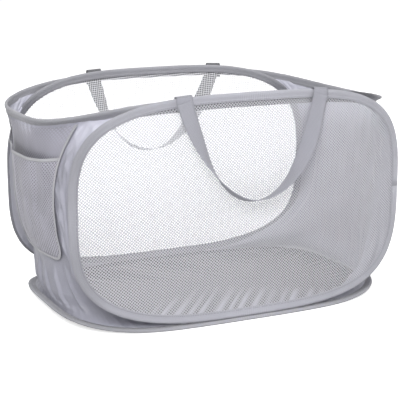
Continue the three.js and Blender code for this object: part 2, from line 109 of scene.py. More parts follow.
def outline(a, b, squareness, turn, inset):
    c, s = math.cos(turn), math.sin(turn)
    x = a * math.copysign(abs(c) ** (2 / squareness), c)
    y = b * math.copysign(abs(s) ** (2 / squareness), s)
    normal = Vector((
        math.copysign(abs(x / a) ** (squareness - 1), x) / a,
        math.copysign(abs(y / b) ** (squareness - 1), y) / b,
    )).normalized()
    return x - normal.x * inset, y - normal.y * inset


def even_turn(share, squareness):
    angle = share * 2 * math.pi
    c, s = math.cos(angle), math.sin(angle)
    return math.atan2(math.copysign(abs(s) ** (squareness / 2), s),
                      math.copysign(abs(c) ** (squareness / 2), c))


def on_panel(side, x, z, through):
    drawn = PANEL_BOW * abs(x / PANEL_HALF) ** BOW_POWER
    return Vector((x, side * (PANEL_Y - drawn) + through, z))


def front_loop(turn, inset, through):
    x, z = outline(PANEL_HALF, PANEL_HEIGHT_HALF, PANEL_SQUARENESS, turn, inset)
    return on_panel(-1, x, PANEL_MIDDLE + z, -through)


def rear_loop(turn, inset, through):
    x, z = outline(PANEL_HALF, PANEL_HEIGHT_HALF, PANEL_SQUARENESS, turn, inset)
    return on_panel(1, x, PANEL_MIDDLE + z, through)


def mouth_loop(turn, down, out):
    squareness = RING_SQUARENESS["front" if math.sin(turn) < 0 else "rear"]
    rim_x = outline(RING_HALF, RING_DEPTH, squareness, turn, 0)[0]
    near_side = 0.1 + 0.9 * smooth(0.35 - 1.6 * math.sin(turn))
    tilt = MOUTH_TILT * near_side * smooth((abs(rim_x) - TILT_FROM) / TILT_OVER)
    straight = 1 - smooth((abs(rim_x) - FRONT_RUN_HALF) / FRONT_RUN_FADE)
    front_run = smooth(-1.5 * math.sin(turn)) * straight
    below = (down - WIRE_AT) * (1 + FRONT_RUN_WIDER * front_run)
    x, y = outline(RING_HALF, RING_DEPTH, squareness, turn,
                   below * math.sin(tilt) - out * math.cos(tilt))
    drop = RING_DROP * min(1, abs(rim_x / RING_HALF)) ** BOW_POWER
    lower = WIRE_AT + below * math.cos(tilt) + out * math.sin(tilt)
    return Vector((x, RING_Y + y, RING_TOP - drop - lower))


def base_height(x):
    raised = max(0, abs(x / BASE_HALF) - BASE_FLAT_SHARE) / (1 - BASE_FLAT_SHARE)
    return BASE_LIFT * raised ** 2


def base_loop(turn, inset, up):
    x, y = outline(BASE_HALF, BASE_DEPTH, BASE_SQUARENESS, turn, inset)
    return Vector((x, y, base_height(x) + BEAD_HALF + up))


for loop in (front_loop, rear_loop, mouth_loop, base_loop):
    print(loop.__name__, "reaches", [round(c, 3) for c in loop(0, 0, 0)])

# %% [markdown]
# ## Helpers for cloth
# Cloth and tape could be made by hand, vertex by vertex, but they are all bent sheets. So one
# helper makes a flat grid with a bmesh operator and lets a function carry each corner to its
# place. It also writes a UV map in metres, so that a weave keeps its real size as it bends.

# %% Sheets from a grid
def finish_mesh(name, bm, rounded=True):
    mesh = bpy.data.meshes.new(name)
    for face in bm.faces:
        face.smooth = rounded
    bm.to_mesh(mesh)
    bm.free()
    piece = bpy.data.objects.new(name, mesh)
    bpy.context.scene.collection.objects.link(piece)
    return piece


def bent_grid(columns, rows, size, place):
    bm = bmesh.new()
    bmesh.ops.create_grid(bm, x_segments=columns, y_segments=rows, size=0.5)
    uv = bm.loops.layers.uv.new("UVMap")
    for face in bm.faces:
        for loop in face.loops:
            u, v = loop.vert.co.x + 0.5, loop.vert.co.y + 0.5
            loop[uv].uv = (u * size[0], v * size[1])
    for vert in bm.verts:
        vert.co = place(vert.co.x + 0.5, vert.co.y + 0.5)
    return bm


def thicken(piece, thickness, offset=0.0):
    solid = piece.modifiers.new("thickness", "SOLIDIFY")
    solid.thickness = thickness
    solid.offset = offset
    solid.use_even_offset = True
    return piece


print("new pieces go into:", bpy.context.scene.collection.name)

# %% [markdown]
# ## The folded tapes
# On the real hamper a tape is folded over the wire and sewn through both halves. A curve with a
# bevel would give a round tube, so the fold's section is drawn as points instead and carried
# round the loop: two flat flanges that grip the cloth and a round bead over the wire. A little
# noise puckers it, as the seam does.

# %% Section of a folded tape
TAPE_SECTION = [
    (13.6, 1.25), (12.2, 1.4), (10.4, 1.4), (8.6, 1.45), (7.2, 1.7), (5.6, 2.35),
    (3.6, 2.75), (1.8, 2.45), (0.5, 1.5), (0.0, 0.0),
]
TAPE_SECTION += [(across, -through) for across, through in reversed(TAPE_SECTION[:-1])]
LOOP_STEPS = 288
TAPE_FLAT = 34 * MM
TAPE_CLOTH = 0.55 * MM


def pucker(turn, across):
    wave = noise.noise(Vector((turn * 14, across * 300, 3.1)))
    fine = noise.noise(Vector((turn * 60, across * 500, 7.7)))
    return (0.35 * wave + 0.15 * fine) * MM


def folded_tape(name, loop, body, node, length):
    def place(u, v):
        turn = u * 2 * math.pi
        at = v * (len(TAPE_SECTION) - 1)
        low = min(int(at), len(TAPE_SECTION) - 2)
        a, b = TAPE_SECTION[low], TAPE_SECTION[low + 1]
        across = (a[0] + (b[0] - a[0]) * (at - low)) * MM
        through = (a[1] + (b[1] - a[1]) * (at - low)) * MM
        wobble = pucker(turn, across)
        return loop(turn, across + wobble, through + wobble * 0.5)

    bm = bent_grid(LOOP_STEPS, len(TAPE_SECTION) - 1, (length, TAPE_FLAT), place)
    bmesh.ops.remove_doubles(bm, verts=bm.verts, dist=1e-6)
    bmesh.ops.recalc_face_normals(bm, faces=bm.faces)
    piece = finish_mesh(name, bm)
    thicken(piece, TAPE_CLOTH, -1.0)
    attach(piece, body)
    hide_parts(node)
    return piece


tapes = [
    folded_tape("front_tape", front_loop, "front_panel", "front_binding_tape", 1.62),
    folded_tape("rear_tape", rear_loop, "rear_panel", "rear_binding_tape", 1.62),
    folded_tape("mouth_tape", mouth_loop, "mouth_ring", "mouth_binding_tape", 1.74),
    folded_tape("base_tape", base_loop, "base", "base_binding_tape", 1.80),
]
print("tapes:", len(tapes))

# %% [markdown]
# ## The net panels
# The panels are knitted net with small square holes, a little under 4 mm apart. A see-through
# material would be quick, but it has no depth and no shadow of its own. Here a grid is turned to
# the lie of the yarns and inset face by face, and the middles are deleted. That leaves real
# yarns round real holes, and their crossings stand out a little, as knots do. The front net
# lies on the slant and the rear one nearly straight.

# %% Net from an inset grid
def net(name, reach, keep, pitch, yarn, place, lay=45, crown=0.2 * MM):
    cells = math.ceil(2 * reach / pitch)
    bm = bmesh.new()
    bmesh.ops.create_grid(bm, x_segments=cells, y_segments=cells, size=cells * pitch / 2)
    turned = Matrix.Rotation(math.radians(lay), 3, "Z")
    bmesh.ops.rotate(bm, verts=bm.verts, cent=(0, 0, 0), matrix=turned)
    outside = [face for face in bm.faces if not keep(*face.calc_center_median().xy)]
    bmesh.ops.delete(bm, geom=outside, context="FACES")
    middles = bm.faces[:]
    crossings = set(bm.verts)
    bmesh.ops.inset_individual(bm, faces=middles, thickness=yarn / 2, use_even_offset=True)
    bmesh.ops.delete(bm, geom=middles, context="FACES_ONLY")
    uv = bm.loops.layers.uv.new("UVMap")
    for face in bm.faces:
        for corner in face.loops:
            corner[uv].uv = corner.vert.co.xy
    for vert in bm.verts:
        out = crown if vert in crossings else 0
        vert.co = place(vert.co.x, vert.co.y, out)
    return finish_mesh(name, bm)


NET_PITCH = 3.46 * MM
NET_YARN = 1.03 * MM
NET_LAY = {"front": 49, "rear": 4}
NET_INSET = 8 * MM
NET_REACH = 335 * MM
NET_WAVES = 2.2 * MM


def within_panel(x, z):
    a, b = PANEL_HALF - NET_INSET, PANEL_HEIGHT_HALF - NET_INSET
    return abs(x / a) ** PANEL_SQUARENESS + abs(z / b) ** PANEL_SQUARENESS < 1


def panel_net(name, side, body, node):
    def place(x, z, out):
        slack = 1 - (abs(x / PANEL_HALF) ** 3 + abs(z / PANEL_HEIGHT_HALF) ** 3)
        wave = noise.noise(Vector((x * 9, z * 9, side * 5.0))) * NET_WAVES
        return on_panel(side, x, PANEL_MIDDLE + z, side * (out + wave * max(0, slack)))

    lay = NET_LAY["front" if side < 0 else "rear"]
    piece = net(name, NET_REACH, within_panel, NET_PITCH, NET_YARN, place, lay)
    if side > 0:
        piece.data.flip_normals()
    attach(piece, body)
    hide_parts(node)
    return piece


front_net = panel_net("front_net", -1, "front_panel", "front_net_panel")
rear_net = panel_net("rear_net", 1, "rear_panel", "rear_net_panel")
print("front net faces:", len(front_net.data.polygons))

# %% [markdown]
# ## The base cloth
# The base is one piece of cloth that its loop holds just above the floor. Its long edges turn
# up inside the panels and are gathered there, which pulls slanted ridges into it. Shorter ridges
# stand at the two ends, and one large tuck lies near the right front corner. A cloth simulation
# would gather it too, but not where the photograph does. So the ridges are written as waves that
# die away from the edge. On the front half their height is also kept, with the tuck, as an
# attribute, `raised`, which the finish uses to paint a highlight on their backs.

# %% Sizes of the base cloth
BASE_GRIP = 11 * MM
EDGE_SHARE = 0.14
EDGE_STEP = 6 * MM
ABOVE_TAPE = 0.8 * MM
TURNED_UP = 7 * MM
FRONT_TURNED_UP = 0.3
GATHER_SPACING = 24 * MM
GATHER_SLANT = 0.76
GATHER_LENGTH = 105 * MM
GATHER_HEIGHT = 6.5 * MM
GATHER_START = 18 * MM
SHORT_SPACING = 17 * MM
SHORT_LENGTH = 38 * MM
TUCK_AT = (0.222, -0.118)
TUCK_LONG = 30 * MM
TUCK_WIDE = 5.5 * MM
TUCK_HIGH = 18 * MM
SWELL = 1.6 * MM
SWELL_FADE = 30 * MM
print("gathers start", round(GATHER_START, 3), "m in from the edge")

# %% Base cloth
def ridge(position, spacing, seed):
    drift = 0.35 * noise.noise(Vector((position * 31, seed, 0.5)))
    wave = 0.5 + 0.5 * math.cos((position / spacing + drift) * 2 * math.pi)
    strength = 0.65 + 0.6 * noise.noise(Vector((position * 17, seed, 9.1)))
    return wave ** 2 * max(0.1, strength)


def base_gathers(x, y, rim_y, from_edge, long_side):
    depth = max(0, BASE_DEPTH - BASE_GRIP - abs(y))
    seed = 3.0 + math.copysign(2, rim_y)
    slanted = ridge(x - GATHER_SLANT * depth, GATHER_SPACING, seed)
    slanted *= math.exp(-(depth / GATHER_LENGTH) ** 2) * long_side
    short = ridge(rim_y + 0.7, SHORT_SPACING, 8.0) * (1 - long_side)
    short *= math.exp(-(from_edge / SHORT_LENGTH) ** 2)
    fade = smooth(from_edge / GATHER_START)
    return slanted * fade, short * fade


def base_tuck(x, y):
    along_tuck = (x - TUCK_AT[0]) * 0.6 + (y - TUCK_AT[1]) * 0.8
    off_tuck = (x - TUCK_AT[0]) * 0.8 - (y - TUCK_AT[1]) * 0.6
    return math.exp(-(along_tuck / TUCK_LONG) ** 2 - (off_tuck / TUCK_WIDE) ** 2)


def base_cloth_point(u, v):
    turn = even_turn(u, BASE_SQUARENESS)
    rim_point = base_loop(turn, BASE_GRIP, 0)
    inwards = max(0, v - EDGE_SHARE) / (1 - EDGE_SHARE)
    near = min(1, v / EDGE_SHARE)
    step = base_loop(turn, BASE_GRIP + EDGE_STEP * near, 0)
    x, y = step.x * (1 - inwards), step.y * (1 - inwards)
    from_edge = (Vector((rim_point.x, rim_point.y)) - Vector((x, y))).length
    long_side = smooth((abs(rim_point.y) - 0.12) / 0.05)
    turned = TURNED_UP * long_side * (1 - near) ** 1.5 * (1 if y > 0 else FRONT_TURNED_UP)
    slanted, short = base_gathers(x, y, rim_point.y, from_edge, long_side)
    tuck = base_tuck(x, y) * near
    wave = noise.noise(Vector((x * 9, y * 9, 11.0))) + 0.55
    swell = SWELL * wave * (1 - math.exp(-from_edge / SWELL_FADE))
    height = base_height(x) + ABOVE_TAPE + turned + TUCK_HIGH * tuck
    height += GATHER_HEIGHT * (slanted + short) + max(0, swell)
    # painted highlight: share of ridge backs and tuck that the base finish paints pale
    raised = min(1, 2.2 * slanted) if rim_point.y < 0 else 0
    return Vector((x, y, height)), max(raised, tuck)


BASE_STEPS = (540, 64)
bm = bent_grid(*BASE_STEPS, (1.8, 0.19), lambda u, v: base_cloth_point(u, v)[0])
ridge_highlight_layer = bm.verts.layers.float.new("raised")
for k, vert in enumerate(bm.verts):
    row, column = divmod(k, BASE_STEPS[0] + 1)
    vert[ridge_highlight_layer] = base_cloth_point(column / BASE_STEPS[0], row / BASE_STEPS[1])[1]
bmesh.ops.remove_doubles(bm, verts=bm.verts, dist=1e-6)
base_cloth = finish_mesh("base_cloth", bm)
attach(base_cloth, "base")
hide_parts("base_panel")
print("base cloth faces:", len(base_cloth.data.polygons))

# %% [markdown]
# ## The cloth ends
# Each end is a piece of cloth held by all four loops. Stretched cloth settles so that every
# point lies between its neighbours, and that is what smoothing does to a grid with a fixed
# rim. A cloth simulation would do the same, slower and less exactly. So the rim is laid on the
# loops, eased into shared corners, and smooth_vert settles what is filled in between.

# %% The rim of an end
PART_BOTTOM = 95 * MM
PART_TOP = {"front": 180 * MM, "rear": 222 * MM}
SEAM = {"panel": 4 * MM, "base": 12 * MM, "mouth": 11 * MM}
INSIDE = 4.05 * MM
ON_BASE_TAPE = 2.1 * MM


def turn_at(half, squareness, length):
    return math.acos(min(1, length / half) ** (squareness / 2))


def arc(loop, start, stop, inset, out, steps=240):
    turns = [start + (stop - start) * k / steps for k in range(steps + 1)]
    points = [loop(turn, inset, out) for turn in turns]
    lengths = [0.0]
    for a, b in zip(points, points[1:]):
        lengths.append(lengths[-1] + (b - a).length)
    return points, lengths


def along(edge, share):
    points, lengths = edge
    at = min(max(share, 0), 1) * lengths[-1]
    k = next((i for i, length in enumerate(lengths) if length >= at), len(lengths) - 1)
    if k == 0:
        return points[0].copy()
    part = (at - lengths[k - 1]) / max(lengths[k] - lengths[k - 1], 1e-9)
    return points[k - 1].lerp(points[k], part)


def end_rim():
    panels = []
    bottom = turn_at(PANEL_HALF, PANEL_SQUARENESS, PART_BOTTOM)
    for side, loop in (("front", front_loop), ("rear", rear_loop)):
        head = turn_at(PANEL_HALF, PANEL_SQUARENESS, PART_TOP[side])
        panels.append(arc(loop, math.pi + bottom, math.pi - head, SEAM["panel"], -INSIDE))
    ring = {side: turn_at(RING_HALF, RING_SQUARENESS[side], PART_TOP[side]) for side in PART_TOP}
    top = arc(mouth_loop, math.pi + ring["front"], math.pi - ring["rear"], SEAM["mouth"], 0)
    base = turn_at(BASE_HALF, BASE_SQUARENESS, PART_BOTTOM)
    low = arc(base_loop, math.pi + base, math.pi - base, SEAM["base"], ON_BASE_TAPE)
    return *panels, top, low


front_rim, rear_rim, top_rim, low_rim = end_rim()
corners = {
    "front low": front_rim[0][0].lerp(low_rim[0][0], 0.5),
    "rear low": rear_rim[0][0].lerp(low_rim[0][-1], 0.5),
    "front top": front_rim[0][-1].lerp(top_rim[0][0], 0.5),
    "rear top": rear_rim[0][-1].lerp(top_rim[0][-1], 0.5),
}
corners["front top"].z = top_rim[0][0].z
print("front top corner:", [round(c, 3) for c in corners["front top"]])


def eased(edge, first, last):
    begin, end = first - edge[0][0], last - edge[0][-1]

    def point(share):
        near = max(0, 1 - share * 8)
        far = max(0, 1 - (1 - share) * 8)
        return along(edge, share) + begin * near + end * far

    return point


rim = {
    "front": eased(front_rim, corners["front low"], corners["front top"]),
    "rear": eased(rear_rim, corners["rear low"], corners["rear top"]),
    "top": eased(top_rim, corners["front top"], corners["rear top"]),
    "low": eased(low_rim, corners["front low"], corners["rear low"]),
}

# %% [markdown]
# A coarse grid settles first and a fine one after it, because smoothing spreads only from
# neighbour to neighbour. Settled cloth is drawn in too far at the waist, though. On the real
# hamper it is cut fuller, so a belly is added that swells it out again between its seams.

# %% The settled surface of the left end
GRID_STEPS = ((24, 21, 700), (96, 84, 160))
END_COLUMNS, END_ROWS = GRID_STEPS[-1][:2]
BELLY = 24 * MM


def filled(u, v):
    between = rim["front"](v).lerp(rim["rear"](v), u) + rim["low"](u).lerp(rim["top"](u), v)
    low = corners["front low"].lerp(corners["rear low"], u)
    top = corners["front top"].lerp(corners["rear top"], u)
    return between - low.lerp(top, v)


def settle(columns, rows, steps, inside):
    def place(u, v):
        edge = min(u, v, 1 - u, 1 - v) < 1e-4
        return filled(u, v) if edge else inside(u, v)

    bm = bent_grid(columns, rows, (1, 1), place)
    inner = [vert for vert in bm.verts if not vert.is_boundary]
    for _ in range(steps):
        bmesh.ops.smooth_vert(bm, verts=inner, factor=0.5,
                              use_axis_x=True, use_axis_y=True, use_axis_z=True)
    bm.verts.ensure_lookup_table()
    points = [vert.co.copy() for vert in bm.verts]
    bm.free()

    def surface(u, v):
        x = min(max(u, 0), 1) * columns
        y = min(max(v, 0), 1) * rows
        i, j = min(int(x), columns - 1), min(int(y), rows - 1)
        wide = columns + 1
        a = points[j * wide + i].lerp(points[j * wide + i + 1], x - i)
        b = points[(j + 1) * wide + i].lerp(points[(j + 1) * wide + i + 1], x - i)
        return a.lerp(b, y - j)

    return surface


settled = filled
for columns, rows, steps in GRID_STEPS:
    settled = settle(columns, rows, steps, settled)


def end_point(u, v):
    slack = math.sin(math.pi * max(v, 0) ** 0.7) * smooth(v / 0.14) if v < 1 else 0
    slack *= math.sin(math.pi * min(max(u, 0), 1)) ** 0.7
    return settled(u, v) - Vector((BELLY * slack, 0, 0))


def end_normal(u, v):
    step = 0.02
    across = end_point(u + step, v) - end_point(u - step, v)
    up = end_point(u, v + step) - end_point(u, v - step)
    normal = across.cross(up).normalized()
    return normal if normal.x < 0 else -normal


waist = end_point(0.5, 0.5)
print("middle of the left end:", [round(c, 3) for c in waist])

# %% [markdown]
# The frame folds by leaning to the rear, and on the real hamper each end follows it. Here each
# end is made of two sheets that lie on each other, and neither is tied to a body. The lower one
# goes from the base to the front panel and the upper one from the rear panel to the mouth. Each
# is cut to a fan round its hinge. The folds that hang from the seams, the folds that the front
# corner pulls across the cloth and the gathers are written as lines on it, so that they sit
# where the photograph has them.

# %% Fans, folds and pulls
FRONT_HINGE = Vector((0, -PANEL_Y, 8.7 * MM))
REAR_HINGE = Vector((0, PANEL_Y, 351.8 * MM))
FAN_RADIUS = 372 * MM
FAN_ANGLES = (12, 34, 56, 78)
LOWER_LAYER = 0.3 * MM
HANGING_FOLDS = [
    (0.30, -0.10, 0.009, 2.6, 0.02, 0.34), (0.37, -0.06, 0.008, 3.0, 0.02, 0.30),
    (0.44, 0.02, 0.010, 2.4, 0.02, 0.28), (0.52, 0.05, 0.009, 2.8, 0.02, 0.31),
    (0.61, 0.08, 0.011, 2.2, 0.02, 0.33), (0.13, 0.04, 0.022, 2.4, 0.25, 0.85),
    (0.87, -0.05, 0.024, 2.4, 0.20, 0.80),
]
FOLD_SHARE = 1.7
PULL_HEIGHT = 4.2 * MM
PULL_STARTS = (0.26, 0.37, 0.45, 0.57, 0.66, 0.78)
PULL_SLANT, PULL_WIDE = 1.36, 0.018
SEAM_GATHERS = 4 * MM
SOFT_WAVES = 7 * MM
SMALL_WAVES = 3 * MM


def fold_line(u, v, at, lean, width, height, low, high):
    away = (u - at - lean * v) / width
    inside = min(1, max(0, (v - low) / 0.05)) * min(1, max(0, (high - v) / 0.08))
    return height * math.exp(-away * away) * inside


def corner_pull(u, v):
    fade = smooth((0.28 - u) / 0.17)
    folds = 0
    for start in PULL_STARTS:
        away = (v - start - PULL_SLANT * u) / PULL_WIDE
        folds += (0.7 + 0.5 * math.sin(7 * start)) * math.exp(-away ** 2)
    return PULL_HEIGHT * fade * folds


def crease(u, v):
    depth = sum(fold_line(u, v, at, lean, width, height * MM, low, high)
                for at, lean, width, height, low, high in HANGING_FOLDS)
    depth += corner_pull(u, v)
    gathers = ridge(u * 0.38, 12 * MM, 21.0) * math.exp(-v / 0.05)
    gathers += 0.7 * ridge(u * 0.42, 16 * MM, 27.0) * math.exp(-(1 - v) / 0.06)
    gathers += 0.6 * ridge(v * 0.33, 15 * MM, 33.0) * math.exp(-min(u, 1 - u) / 0.05)
    soft = noise.noise(Vector((u * 3.1 + v * 1.7, v * 2.3 - u, 4.0)))
    small = noise.noise(Vector((u * 9 + v * 5, v * 6 - u * 4, 8.0)))
    rim_fade = min(1, min(u, v, 1 - u, 1 - v) / 0.03)
    depth = FOLD_SHARE * depth + SEAM_GATHERS * gathers
    return (depth + SOFT_WAVES * soft + SMALL_WAVES * small) * rim_fade


print("deepest crease at mid height:",
      round(max(crease(k / 100, 0.5) for k in range(101)), 4), "m")

# %% Two overlapping sheets for each end
def end_sheet(name, mirror, hinge, toward, layer):
    def place(u, v):
        point = end_point(u, v) + end_normal(u, v) * (layer + crease(u, v))
        return Vector((point.x * mirror, point.y, point.z))

    bm = bent_grid(END_COLUMNS * 2, END_ROWS * 2, (0.42, 0.36), place)
    for angle in FAN_ANGLES:
        out = Vector((0, math.cos(math.radians(angle)), math.sin(math.radians(angle)))) * toward
        geom = bm.verts[:] + bm.edges[:] + bm.faces[:]
        bmesh.ops.bisect_plane(bm, geom=geom, dist=1e-7, plane_co=hinge + out * FAN_RADIUS,
                               plane_no=out, clear_outer=True)
    if mirror > 0:
        bmesh.ops.reverse_faces(bm, faces=bm.faces)
    piece = finish_mesh(name, bm)
    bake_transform(piece)
    return piece


ends = []
for side, mirror in (("left", 1), ("right", -1)):
    lower = end_sheet(side + "_end_lower_cloth", mirror, FRONT_HINGE, 1,
                      LOWER_LAYER)
    upper = end_sheet(side + "_end_upper_cloth", mirror, REAR_HINGE, -1,
                      0.0)
    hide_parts(side + "_end_panel")
    ends += [lower, upper]
print("end sheets:", len(ends))

# %% [markdown]
# ## The pocket
# The left end carries a pocket of closer net. Its back lies on the cloth and runs up to the
# mouth, and its pouch bulges because it is cut wider than its back. Both are nets from the same
# helper, drawn flat in metres and then laid on the settled surface of the end. They could be
# draped on it by a simulation, but then their edges would slip off the trim. Heights on the
# pocket are real heights, so `row_at` looks for the row of the surface at a height. The lower
# corners are rounded, the top widens to the front, and the pouch's mouth sags in its middle
# and climbs to the rear.

# %% Pocket plane
POCKET_WIDE = 188 * MM
POCKET_FOOT = 102 * MM
POCKET_FRONT, POCKET_REAR = 0.235, 0.82
POCKET_FLARE = 0.14
POUCH_TALL = 158 * MM
BACK_TALL = 212 * MM
POCKET_HEAD = 0.985
POCKET_ROUND = 27 * MM
LAYER = 1.3 * MM
CREASE_KEPT = 0.35
POUCH_BULGE = 12 * MM
POUCH_FOLDS = 6.5 * MM
MOUTH_SAG = 7 * MM
MOUTH_RISE = 20 * MM
POCKET_PITCH = 4.2 * MM
POCKET_YARN = 1.5 * MM


def row_at(u, height):
    low, high = 0.02, POCKET_HEAD
    for _ in range(12):
        middle = (low + high) / 2
        if end_point(u, middle).z < height:
            low = middle
        else:
            high = middle
    return (low + high) / 2


def on_end(x, y):
    flare = max(0, y / BACK_TALL - 0.6) ** 1.5
    front = POCKET_FRONT - POCKET_FLARE * flare
    u = front + (x / POCKET_WIDE) * (POCKET_REAR - front)
    head = end_point(u, POCKET_HEAD).z
    return u, row_at(u, POCKET_FOOT + (head - POCKET_FOOT) * y / BACK_TALL)


def back_point(x, y, out):
    u, v = on_end(x, y)
    return end_point(u, v) + end_normal(u, v) * (LAYER + out + crease(u, v) * CREASE_KEPT)


def pouch_point(x, y, out):
    across = min(max(x / POCKET_WIDE, 0), 1)
    up = y / POUCH_TALL
    above = (BACK_TALL - y) / (BACK_TALL - POUCH_TALL)
    u, v = on_end(x, y + MOUTH_RISE * across * max(0, min(up, above)))
    round_in = math.sin(across * math.pi)
    crown = round_in * math.sin(min(1, max(0, up) * 1.25) * math.pi / 2)
    folds = noise.noise(Vector((x * 55, y * 9, 14.0)))
    folds += 0.6 * noise.noise(Vector((x * 24, y * 14, 5.0)))
    bulge = (POUCH_BULGE + POUCH_FOLDS * folds) * crown
    point = end_point(u, v) + end_normal(u, v) * (out + bulge + crease(u, v) * CREASE_KEPT)
    point.z -= MOUTH_SAG * max(0, up) * round_in
    return point


def ride_pocket(piece):
    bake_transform(piece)


print("pocket head at", round(back_point(POCKET_WIDE / 2, BACK_TALL, 0).z, 3), "m")

# %% Pocket nets
def in_pocket(x, y, tall):
    if not (0 < x < POCKET_WIDE and 0 < y < tall):
        return False
    side = min(x, POCKET_WIDE - x)
    if side > POCKET_ROUND or y > POCKET_ROUND:
        return True
    return math.hypot(POCKET_ROUND - side, POCKET_ROUND - y) < POCKET_ROUND


def pocket_net(name, node, tall, point_at):
    middle_x, middle_y = POCKET_WIDE / 2, tall / 2

    def place(x, y, out):
        inner_x = min(max(x + middle_x, 0), POCKET_WIDE)
        return point_at(inner_x, min(max(y + middle_y, 0), tall), out)

    reach = (POCKET_WIDE + tall) / 2 / math.sqrt(2) + POCKET_PITCH
    piece = net(name, reach, lambda x, y: in_pocket(x + middle_x, y + middle_y, tall),
                POCKET_PITCH, POCKET_YARN, place, crown=0.12 * MM)
    ride_pocket(piece)
    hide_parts(node)
    return piece


pocket_back = pocket_net("pocket_backing", "pocket_back", BACK_TALL, back_point)
pouch = pocket_net("pocket_pouch_net", "pocket_pouch", POUCH_TALL,
                   lambda x, y, out: pouch_point(x, y, out + 2 * LAYER))
print("pouch faces:", len(pouch.data.polygons))

# %% [markdown]
# A folded strip binds the pouch's mouth, and a narrower one runs down both sides and round the
# foot. Both are bent grids that follow the pouch, so that they bulge with it.

# %% Pocket hem and edge trim
HEM_HEIGHT = 5 * MM
TRIM_WIDTH = 4 * MM
TRIM_LENGTH = 0.62
STRIP_THICK = 0.8 * MM


def pocket_strip(name, node, steps, place, size):
    bm = bent_grid(steps, 4, size, place)
    piece = finish_mesh(name, bm)
    thicken(piece, STRIP_THICK, 0.0)
    ride_pocket(piece)
    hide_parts(node)
    return piece


def hem_place(a, b):
    point = pouch_point(a * POCKET_WIDE, POUCH_TALL, 2.5 * LAYER)
    point.z += b * HEM_HEIGHT - 2 * MM
    return point


def round_pocket(share, inset):
    side = BACK_TALL - POCKET_ROUND
    bend = POCKET_ROUND * math.pi / 2
    foot = POCKET_WIDE - 2 * POCKET_ROUND
    path = share * (2 * side + 2 * bend + foot)
    mirrored = path > side + bend + foot / 2
    if mirrored:
        path = 2 * side + 2 * bend + foot - path
    if path < side:
        x, y = inset, BACK_TALL - path
    elif path < side + bend:
        angle = (path - side) / POCKET_ROUND
        x = POCKET_ROUND - (POCKET_ROUND - inset) * math.cos(angle)
        y = POCKET_ROUND - (POCKET_ROUND - inset) * math.sin(angle)
    else:
        x, y = POCKET_ROUND + path - side - bend, inset
    return (POCKET_WIDE - x, y) if mirrored else (x, y)


def trim_place(a, b):
    x, y = round_pocket(a, b * TRIM_WIDTH - 1.5 * MM)
    ripple = 0.5 * MM * noise.noise(Vector((a * 40, b, 2.0)))
    return pouch_point(x, y, 3.2 * LAYER + ripple)


hem = pocket_strip("pocket_hem", "pocket_mouth_hem", 90, hem_place, (POCKET_WIDE, HEM_HEIGHT))
trim = pocket_strip("pocket_trim", "pocket_edge_trim", 240, trim_place,
                    (TRIM_LENGTH, TRIM_WIDTH))
print("pocket strips:", hem.name, "and", trim.name)

# %% [markdown]
# ## The handles
# Each handle is one length of webbing. A curve with a flat bevel could carry it, but webbing
# hangs as a chain does and turns as it falls: its ends lie flat on the hamper, and at the
# bottom it stands on edge. So a grid is laid along a catenary and turned on the way.

# %% Handle webbing
HANDLE_X = 115 * MM
HANDLE_DROP = {"front": 154 * MM, "rear": 138 * MM}
CATENARY = 56 * MM
STRAP_WIDE = 25 * MM
STRAP_THICK = 1.2 * MM
STRAP_TURN = math.radians(105)


def strap_place(side, face_y, top, drop):
    reach = math.sinh(HANDLE_X / CATENARY)
    stretch = drop / (CATENARY * (math.cosh(HANDLE_X / CATENARY) - 1))

    def place(u, v):
        share = 2 * u - 1
        x = CATENARY * math.asinh(share * reach)
        z = top - drop + stretch * CATENARY * (math.cosh(x / CATENARY) - 1)
        slope = stretch * math.sinh(x / CATENARY)
        across = Vector((-slope, 0, 1)).normalized()
        turn = STRAP_TURN * (1 - share * share) ** 2
        away = side * (face_y + STRAP_THICK / 2 + 0.3 * MM + STRAP_WIDE / 2 * math.sin(turn))
        width = Vector((0, math.sin(turn), 0)) + across * math.cos(turn)
        return Vector((x, away, z)) + width * (v - 0.5) * STRAP_WIDE

    return place


def handle(name, node, body, side):
    low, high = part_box(node)
    face_y = (-high[1] if side < 0 else low[1]) - 0.3 * MM
    top = high[2] - 3.2 * MM
    drop = HANDLE_DROP["front" if side < 0 else "rear"]
    bm = bent_grid(120, 8, (0.45, STRAP_WIDE), strap_place(side, face_y, top, drop))
    piece = finish_mesh(name, bm)
    thicken(piece, STRAP_THICK, 0.0)
    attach(piece, body)
    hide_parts(node)
    return piece


front_handle = handle("front_handle_webbing", "front_handle_strap", "front_handle", -1)
rear_handle = handle("rear_handle_webbing", "rear_handle_strap", "rear_handle", 1)
print("handles drop", [round(drop, 3) for drop in HANDLE_DROP.values()])

# %% [markdown]
# At each end of a handle the webbing folds over the bound edge and is sewn down on both sides.
# That tab is a short grid bent over the loop's bead. The rear ones stand higher, because they
# go round the rear panel's tape as well as the mouth's.

# %% Handle tabs
TAB_RISE = 2 * MM
REAR_TAB_RISE = 7 * MM
TAB_REACH = 20 * MM
TAB_FOLD = 0.6
TAB_THICK = 0.9 * MM


def tab(name, node, body, loop, turn, rise=TAB_RISE):
    edge = loop(turn, 0, 0)
    up = (edge - loop(turn, 3 * MM, 0)).normalized()
    tangent = (loop(turn - 0.04, 0, 0) - loop(turn + 0.04, 0, 0)).normalized()
    through = up.cross(tangent).normalized()
    outer = BEAD_HALF + 1.5 * MM

    def place(u, v):
        path = v * 3 - 1.5
        if abs(path) > TAB_FOLD:
            sway = math.copysign(outer, path)
            height = 0.6 * MM - (abs(path) - TAB_FOLD) * TAB_REACH
        else:
            bend = path / TAB_FOLD * math.pi / 2
            sway = math.sin(bend) * outer
            height = 0.6 * MM + math.cos(bend) * rise
        return edge + tangent * (u - 0.5) * STRAP_WIDE + through * sway + up * height

    bm = bent_grid(10, 40, (STRAP_WIDE, 0.045), place)
    piece = finish_mesh(name, bm)
    thicken(piece, TAB_THICK, 0.0)
    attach(piece, body)
    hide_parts(node)
    return piece


